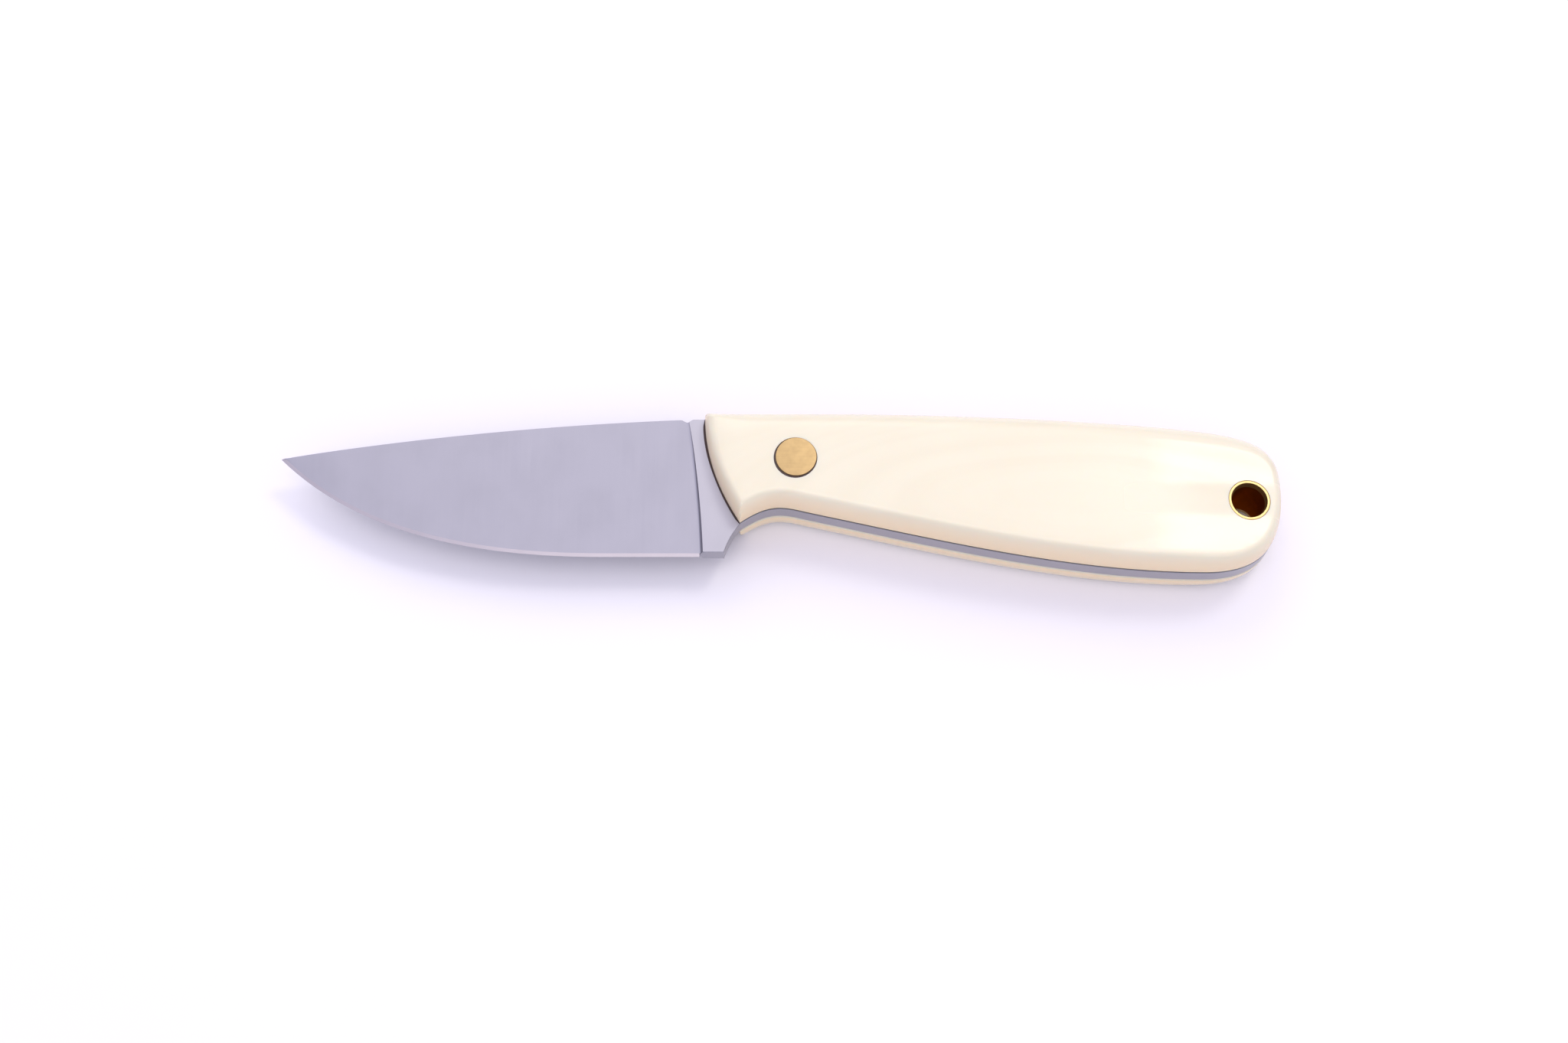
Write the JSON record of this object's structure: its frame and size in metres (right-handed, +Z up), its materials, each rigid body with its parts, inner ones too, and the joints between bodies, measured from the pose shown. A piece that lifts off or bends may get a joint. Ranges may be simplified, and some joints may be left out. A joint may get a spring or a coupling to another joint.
{
  "type": "fixed blade craft knife",
  "caption": "Small full-tang fixed-blade knife lying flat: flat-ground blade, bone scales, flush brass bolt and a lanyard tube through the butt.",
  "frame": {"origin": "middle of the whole knife's box, on the surface that its back scale rests on", "axes": "+X from the tip to the butt, +Y from the cutting edge to the spine, +Z up through the thickness"},
  "size_m": [0.165, 0.0272, 0.0146],
  "materials": {
    "ground_steel": "satin, ground across the blade",
    "polished_bone": "bone, sanded and buffed to a soft gloss",
    "dark_epoxy": "cured adhesive, sanded flush",
    "brushed_brass": "sanded flush, fine scratches",
    "polished_brass": "polished rim, darker bore"
  },
  "bodies": {
    "root": {"blade": "ground_steel", "front_scale": "polished_bone", "back_scale": "polished_bone", "front_bond_film": "dark_epoxy", "back_bond_film": "dark_epoxy", "bolt_sleeve": "brushed_brass", "bolt_screw": "brushed_brass", "lanyard_tube": "polished_brass"}
  },
  "joints": []
}
